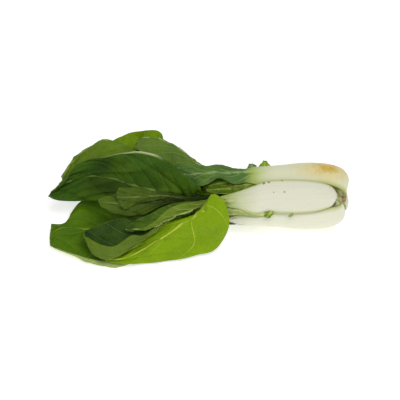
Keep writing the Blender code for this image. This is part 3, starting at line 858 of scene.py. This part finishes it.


# %% [markdown]
# ## Finishes
#
# A finish is the colours of a blade's inside, outside and veins, of the stalk and of the pale margin,
# and the numbers that shape the blade. Lengths are in millimetres.
#
# - `veins`, `sweep`: how many side veins a blade has, and how far they sweep forward
# - `puff`, `crumple`, `ruffle`: height of the panels between veins, of the crumples and of the waves
#   at the margin, and `waves` is the count of those waves
# - `rib_width`: how much wider the drawn midrib is at the neck than at the tip
# - `seed`: what tells one leaf's pattern from another's
# - `rim`, `rim_width`, `rim_span`: strength and width of the pale rim, and the stretch that has it, as
#   start and end in v and a side: -1 is the left margin, 1 the right one and 0 both
# - `greening`: where the green starts and where it is full, in stations past the blade's first one
# - `shades`: painted shade, dark-green patches laid where crevices and shadowed necks fall, each (u, v,
#   reach in u, reach in v, strength)

# %% Finish of every leaf
SHAPE = dict(veins=7, sweep=0.32, puff=1.3, crumple=1.2, ruffle=1.7, waves=3.0, rib_width=1.6, seed=0.0,
             rim=0.4, rim_width=1.1, rim_span=(-0.1, 1.1, 0), greening=(0.3, 2.4), shades=())
# Painted shade over the necks of the heart leaves, which lie dark deep between the bigger leaves.
HEART_NECK_SHADE = (0.0, 0.15, 3.0, 0.5, 0.95)
IVORY = (236, 235, 214)
PALE_GREEN = (176, 194, 104)


def leaf_finish(inside, outside, vein, stem=PALE_GREEN, margin=None, **shape):
    """Colours of one leaf, its margin like the outside unless given, and its shape's numbers."""
    colours = [tint(*colour) for colour in (inside, outside, stem, vein, margin or outside)]
    return dict(zip(LEAF_COLOURS, colours)), {**SHAPE, **shape}


FINISHES = {
    "front_leaf": leaf_finish(
        (48, 86, 18), (110, 136, 36), (176, 190, 104), IVORY, seed=1.0, ruffle=0.7, greening=(-0.6, 4.0)),
    "upper_leaf": leaf_finish(
        (70, 108, 20), (90, 126, 60), (150, 176, 110), (232, 232, 200), seed=2.0, ruffle=1.2,
        # Painted shade on the inner fold of the wing.
        greening=(-0.9, 2.1), shades=((0.5, 0.6, 0.8, 0.14, 0.25),)),
    "lower_leaf": leaf_finish(
        (80, 122, 4), (172, 188, 112), (160, 186, 66), (242, 241, 220), seed=3.0, ruffle=0.5,
        greening=(1.9, 3.0), rim=0.95, rim_width=6.5, rim_span=(0.3, 1.0, -1)),
    "under_leaf": leaf_finish(
        (128, 164, 0), (124, 158, 0), (178, 198, 80), (228, 228, 204), seed=4.0, ruffle=2.6, waves=4.4,
        crumple=2.0),
    "spread_leaf": leaf_finish(
        (134, 172, 0), (140, 165, 50), (206, 218, 78), (206, 216, 140), seed=5.0, veins=5, puff=1.0),
    "pocket_leaf": leaf_finish(
        (36, 70, 16), (106, 130, 36), (136, 158, 84), seed=6.0, ruffle=0.8),
    "arched_leaf": leaf_finish(
        (72, 106, 24), (96, 128, 40), (190, 206, 136), seed=7.0, veins=4, sweep=0.8, rim=0.8,
        margin=(168, 186, 120)),
    "far_leaf": leaf_finish(
        (76, 116, 10), (104, 134, 26), (166, 184, 96), seed=8.0, ruffle=2.4, waves=4.0,
        crumple=1.8),
    "cupped_leaf": leaf_finish(
        (62, 100, 14), (86, 118, 36), (132, 160, 72), seed=9.0, veins=8, ruffle=2.4,
        waves=3.6, crumple=2.2, puff=1.7, margin=(198, 210, 152), rim=1.0, rim_width=1.6,
        rim_span=(0.46, 0.84, 1),
        # Painted shade: the dark valley along the midrib, the crevice below it, the shadowed tip and neck.
        shades=((0.4, 0.74, 0.6, 0.1, 0.6), (-0.35, 0.66, 0.5, 0.18, 0.65), (0.0, 0.92, 0.9, 0.12, 0.4),
                (0.7, 0.02, 0.8, 0.06, 0.5), (-0.85, 0.4, 0.4, 0.3, 0.75))),
    "heart_leaf_outer": leaf_finish(
        (66, 98, 20), (84, 108, 30), (136, 156, 76), seed=10.0, ruffle=0.6, puff=0.6,
        greening=(-1.5, 0.5), shades=(HEART_NECK_SHADE,)),
    "heart_leaf_inner": leaf_finish(
        (66, 98, 20), (88, 112, 34), (136, 156, 76), seed=11.0, ruffle=0.8, puff=0.6,
        greening=(-1.5, 0.5), shades=(HEART_NECK_SHADE,)),
}

# %% Make all the leaves, with the stain and the small marks on their stalks
STAIN_CENTRE = tuple(to_world(np.array([126.0, 29.0, 15.0])) * MM)
STAIN_REACH = (0.034, 0.016, 0.016)
DARK_GREEN = (92, 112, 40)
ORANGE = (206, 140, 60)
BROWN = (112, 78, 44)
SPOTS = {  # x, a, o, radius and colour of each mark
    "front_leaf": [(72.5, 5.5, 32.5, 1.2, (132, 156, 60)), (83.0, 6.0, 33.5, 1.4, (124, 152, 56)),
                   (63.0, 14.0, 25.0, 2.0, DARK_GREEN), (68.0, 15.0, 25.0, 1.6, DARK_GREEN),
                   (81.0, 17.0, 26.0, 1.0, DARK_GREEN), (128.0, 10.0, 24.0, 1.4, (176, 190, 104))],
    "upper_leaf": [(133.0, 32.5, 8.0, 1.2, BROWN), (137.0, 30.5, 8.0, 1.0, BROWN),
                   (137.0, 24.0, 20.0, 1.2, ORANGE), (141.0, 22.0, 18.0, 1.0, ORANGE)],
    "lower_leaf": [(92.0, -19.0, 23.0, 1.2, DARK_GREEN)],
}

for node, leaf in LEAVES.items():
    colours, numbers = FINISHES[node]
    leaf.update(numbers)
    stain = (STAIN_CENTRE, STAIN_REACH) if node == "upper_leaf" else None
    skin = leaf_material(node + "_skin", colours, stain, SPOTS.get(node, ()))
    make_leaf(node + "_grown", node, leaf, skin)

# %% [markdown]
# ## Small leaflets
#
# Between the necks of the big leaves and along the stalks sit folded scraps of young leaf. They are
# made like the big ones, only without a stalk and on a coarser grid.

# %% Small leaflets, each a list of stations and its finish
LEAFLETS = {
    "neck_fold_near": (
        [((63, 19, 15), (63, 15, 17), (63, 12, 18)), ((54, 21, 13), (54, 15, 18), (54, 10, 19)),
         ((44, 20, 12), (44, 13, 18), (44, 7, 18)), ((34, 17, 12), (36, 12, 17), (38, 6, 18)),
         ((28, 14, 12), (30, 11, 15), (32, 8, 17))],
        leaf_finish((126, 150, 24), (116, 142, 30), (184, 198, 110), seed=12.0, rim=0.9,
                    margin=(188, 202, 124))),
    "neck_fold_middle": (
        [((48, 14, 14), (48, 10, 16), (48, 7, 18)), ((38, 15, 12), (38, 9, 16), (38, 4, 18)),
         ((24, 15, 11), (26, 9, 15), (26, 4, 17)), ((12, 13, 10), (14, 8, 13), (14, 5, 15)),
         ((4, 10, 9), (6, 8, 11), (7, 6, 13))],
        leaf_finish((76, 106, 10), (82, 112, 14), (156, 176, 70), seed=13.0, rim=0.9,
                    margin=(168, 186, 84))),
    "neck_fold_far": (
        [((34, 19, 9), (34, 15, 12), (34, 11, 13)), ((22, 20, 8), (22, 14, 11), (22, 8, 13)),
         ((10, 18, 7), (10, 12, 10), (12, 6, 12)), ((0, 13, 6), (1, 9, 9), (3, 5, 11))],
        leaf_finish((72, 106, 8), (76, 108, 16), (150, 172, 70), seed=14.0, rim=0.5,
                    # Painted shade deep in the hole between the necks.
                    shades=((0.0, 1.0, 3.0, 0.3, 0.9),))),
    "side_fold": (
        [((68, -15.5, 23), (68, -16, 22), (68, -17, 21)), ((54, -12, 23), (54, -15, 22), (54, -18, 19)),
         ((40, -8, 22), (40, -12, 23.5), (40, -16, 20)), ((26, -8, 22), (26, -12, 23.5), (26, -15, 20))],
        leaf_finish((186, 200, 110), (190, 204, 120), (216, 224, 160), seed=15.0, rim=0.3)),
    "bright_tip": (
        [((56, 22, -6), (64, 22, -5), (72, 22, -4)), ((56, 28, -5), (64.5, 28, -4), (72.5, 29.5, -4)),
         ((59.5, 32.5, -5), (65, 33, -4), (70, 33, -4)),
         ((63.5, 37, -5), (65, 37.5, -4.5), (66.5, 36.5, -4))],
        leaf_finish((150, 188, 16), (156, 190, 30), (190, 214, 90), seed=16.0)),
    "grey_tip": (
        [((49, 23, 2), (52, 23, 3), (55, 23, 2)), ((47, 28, 1), (52, 29, 2), (57, 28, 1)),
         ((48.5, 32.5, 0), (52, 33, 1), (56, 32.5, 0)), ((50, 34, 0), (52, 34.2, 0.5), (54, 34, 0))],
        leaf_finish((120, 144, 92), (116, 140, 90), (160, 180, 130), seed=17.0)),
    "side_scrap": (
        [((68.5, -13, 24.5), (70.5, -12.8, 25), (72.5, -13, 24)),
         ((66, -15.5, 24.5), (69, -15.8, 25.2), (72.3, -15.5, 24.5)),
         ((63.5, -17.2, 24.5), (66.5, -17.8, 25.2), (70.5, -17.5, 25)),
         ((67, -19.5, 24.5), (67.8, -19.9, 25), (68.5, -19.2, 25))],
        leaf_finish((122, 158, 10), (116, 150, 8), (190, 208, 110), seed=18.0)),
    "side_crumb": (
        [((90.5, -15.8, 24.8), (91, -15.5, 25), (92, -16, 24.5)),
         ((88.5, -17.2, 25), (90, -17, 25.2), (91.5, -16.8, 25)),
         ((87.5, -18, 24.8), (88.5, -18.3, 25), (89.5, -17.8, 24.8))],
        leaf_finish((130, 162, 46), (130, 162, 46), (180, 200, 100), seed=19.0)),
    "dark_tip": (
        [((40, -22, 9), (40, -24, 6), (40, -25, 4)), ((33, -24, 7), (33, -25.5, 5.5), (33, -26, 4)),
         ((28, -25, 6), (28, -25.6, 5.5), (28, -26, 5))],
        leaf_finish((74, 88, 30), (74, 88, 30), (120, 130, 60), seed=20.0)),
}

for name, (stations, (colours, numbers)) in LEAFLETS.items():
    leaflet = dict(stalk=[], blade=stations, thickness=0.9, fold=2.0)
    leaflet.update(numbers, veins=3, puff=0.3, ruffle=0.4, crumple=0.8, greening=(-1.0, -0.5))
    skin = leaf_material(name + "_skin", colours)
    make_leaf(name, None, leaflet, skin, rows=64, columns=33)

# %% [markdown]
# ## The cut root
#
# The stub that the stalks grow from is turned like a plug: a profile carried round the axis, made
# uneven by a few waves, with a dished cut face. Only its last few millimetres are browned.

# %% Root stub
CROWN_RINGS = [(146.2, 0.0), (145.6, 2.0), (146.2, 4.0), (145.8, 5.4), (144.5, 6.2), (138.0, 6.0),
               (130.0, 6.1), (118.0, 4.5), (110.0, 3.4), (109.6, 0.0)]
ROUND = 96
STUB_EASE = 0.98  # the stub is turned a little slimmer than its profile
BROWN_DEPTH = (5.75, 3.75)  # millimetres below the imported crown's end: first brown, all brown


def turned_stub(profile, sides):
    """Radius from a smooth profile, times 1 + small waves in the angle; poles close both ends."""
    places = np.linspace(0.0, len(profile) - 1.0, 90)
    x, radius = smooth_curve(profile, places).T
    radius = np.maximum(radius, 0.0)
    angle = np.linspace(0.0, 2 * np.pi, sides, endpoint=False)[None, :]
    uneven = 1 + 0.03 * np.sin(5 * angle + 0.2 * x[:, None]) + 0.02 * np.sin(11 * angle - 0.5 * x[:, None])
    r = radius[:, None] * uneven * STUB_EASE
    lengths = np.broadcast_to(x[:, None], r.shape)
    points = np.stack([lengths, AXIS_A + r * np.sin(angle), r * np.cos(angle)], axis=-1)
    return points[1:-1], points[0, 0], points[-1, 0]


rings, cut_pole, inner_pole = turned_stub(CROWN_RINGS, ROUND)
count = rings.shape[0]
index = np.arange(count * ROUND).reshape(count, ROUND)
turned = np.roll(index, -1, axis=1)
walls = np.stack([index[:-1], turned[:-1], turned[1:], index[1:]], axis=-1).reshape(-1, 4)
cut_fan = np.stack([np.full(ROUND, count * ROUND), turned[0], index[0]], axis=-1)
inner_fan = np.stack([np.full(ROUND, count * ROUND + 1), index[-1], turned[-1]], axis=-1)
poles = to_world(np.stack([cut_pole, inner_pole]))
stub_points = np.concatenate([to_world(rings).reshape(-1, 3), poles]) * MM
stub_mesh = bpy.data.meshes.new("root_stub")
stub_mesh.from_pydata(stub_points.tolist(), [], walls.tolist() + cut_fan.tolist() + inner_fan.tolist())
stub_mesh.shade_smooth()

# %% Browned cut
stub_material, stub_shader = new_material("browned_root")
stub_tree = stub_material.node_tree
stub_place = add_node(stub_tree, "ShaderNodeTexCoord").outputs["Object"]
blotch = remap(stub_tree, noise(stub_tree, stub_place, 420.0, 4.0), 0.35, 0.65)
dark_spot = remap(stub_tree, noise(stub_tree, stub_place, 700.0, 2.0), 0.55, 0.68)
cut_colour = mix_colours(stub_tree, blotch, tint(206, 190, 130), tint(150, 112, 62))
cut_colour = mix_colours(stub_tree, dark_spot, cut_colour, tint(70, 44, 24))
stub_along = add_node(stub_tree, "ShaderNodeSeparateXYZ")
stub_tree.links.new(stub_place, stub_along.inputs[0])
brown_start, brown_full = (float(crown_high[0]) - depth * MM for depth in BROWN_DEPTH)
cut_face = remap(stub_tree, stub_along.outputs["X"], brown_start, brown_full)
cut_colour = mix_colours(stub_tree, cut_face, tint(240, 232, 172), cut_colour)
stub_tree.links.new(cut_colour, stub_shader.inputs["Base Color"])
stub_tree.links.new(remap(stub_tree, blotch, 0.0, 1.0, 0.6, 0.85), stub_shader.inputs["Roughness"])
add_bump(stub_tree, stub_shader, blotch, 1.0, 0.0008)
stub_mesh.materials.append(stub_material)
stub = add_object("root_stub", stub_mesh)
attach(stub, "root")
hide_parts("crown")
print("root stub", len(stub_mesh.polygons), "faces")
